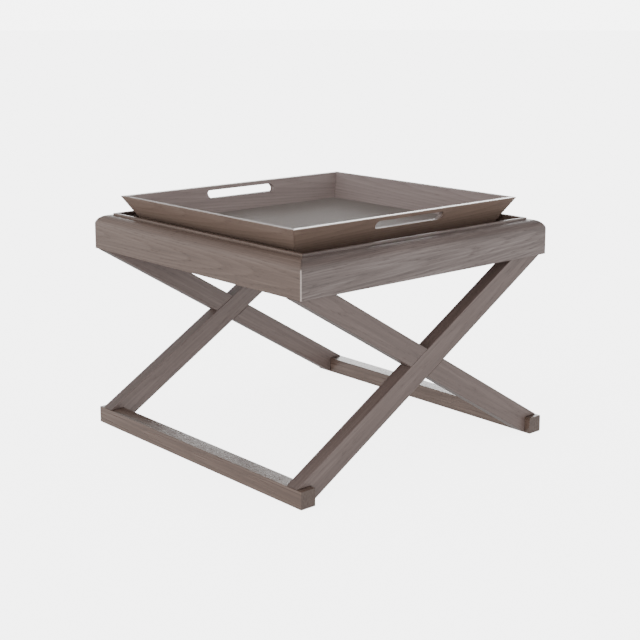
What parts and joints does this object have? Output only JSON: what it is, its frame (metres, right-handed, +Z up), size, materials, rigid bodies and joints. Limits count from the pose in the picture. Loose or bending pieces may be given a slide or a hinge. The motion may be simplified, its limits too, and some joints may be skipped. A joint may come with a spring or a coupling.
{
  "type": "tray table",
  "caption": "Square wooden side table: a flared lift-off tray with hand slots rests in a round-shouldered mitred frame on crossed legs tied by rails on the floor.",
  "frame": {"origin": "on the floor, under the middle of the square frame", "axes": "+Z up; +Y from the front to the back, along the foot rails; +X to the right, along the way the crossed legs spread"},
  "size_m": [0.6, 0.6, 0.447],
  "materials": {
    "frame_oak": "open-pored oak, stained grey-brown taupe, satin lacquer",
    "deck_oak": "the same stained oak veneer, satin, darker in the shade of the tray",
    "tray_oak": "stained oak, satin to half-gloss lacquer, brown outside and taupe inside",
    "tray_floor": "fine-grained grey-taupe veneer, satin",
    "beech": "raw planed beech",
    "birch_ply": "raw birch plywood",
    "zinc_steel": "bright zinc plate",
    "grey_felt": "pressed wool felt"
  },
  "bodies": {
    "base": {"frame_rail_front": "frame_oak", "frame_rail_right": "frame_oak", "frame_rail_back": "frame_oak", "frame_rail_left": "frame_oak", "foot_rail_left": "frame_oak", "foot_rail_right": "frame_oak", "leg_front_rising_right": "frame_oak", "leg_front_rising_left": "frame_oak", "leg_back_rising_right": "frame_oak", "leg_back_rising_left": "frame_oak", "deck_panel": "deck_oak", "mitre_spline_front_left": "birch_ply", "mitre_spline_front_right": "birch_ply", "mitre_spline_back_right": "birch_ply", "mitre_spline_back_left": "birch_ply", "corner_block_front_left": "beech", "corner_block_front_right": "beech", "corner_block_back_right": "beech", "corner_block_back_left": "beech", "block_screw_front_left_1": "zinc_steel", "block_screw_front_left_2": "zinc_steel", "block_screw_front_right_1": "zinc_steel", "block_screw_front_right_2": "zinc_steel", "block_screw_back_right_1": "zinc_steel", "block_screw_back_right_2": "zinc_steel", "block_screw_back_left_1": "zinc_steel", "block_screw_back_left_2": "zinc_steel", "leg_top_dowel_front_left_1": "beech", "leg_top_dowel_front_left_2": "beech", "leg_top_dowel_front_right_1": "beech", "leg_top_dowel_front_right_2": "beech", "leg_top_dowel_back_right_1": "beech", "leg_top_dowel_back_right_2": "beech", "leg_top_dowel_back_left_1": "beech", "leg_top_dowel_back_left_2": "beech", "foot_dowel_front_left_1": "beech", "foot_dowel_front_left_2": "beech", "foot_dowel_front_right_1": "beech", "foot_dowel_front_right_2": "beech", "foot_dowel_back_right_1": "beech", "foot_dowel_back_right_2": "beech", "foot_dowel_back_left_1": "beech", "foot_dowel_back_left_2": "beech"},
    "tray": {"tray_wall_front": "tray_oak", "tray_wall_right": "tray_oak", "tray_wall_back": "tray_oak", "tray_wall_left": "tray_oak", "tray_floor": "tray_floor", "felt_pad_front_left": "grey_felt", "felt_pad_front_right": "grey_felt", "felt_pad_back_right": "grey_felt", "felt_pad_back_left": "grey_felt"}
  },
  "joints": [
    {"name": "tray_lift", "type": "slide", "parent": "base", "child": "tray", "axis": [0, 0, 1], "range_m": [0, 0.2]}
  ]
}
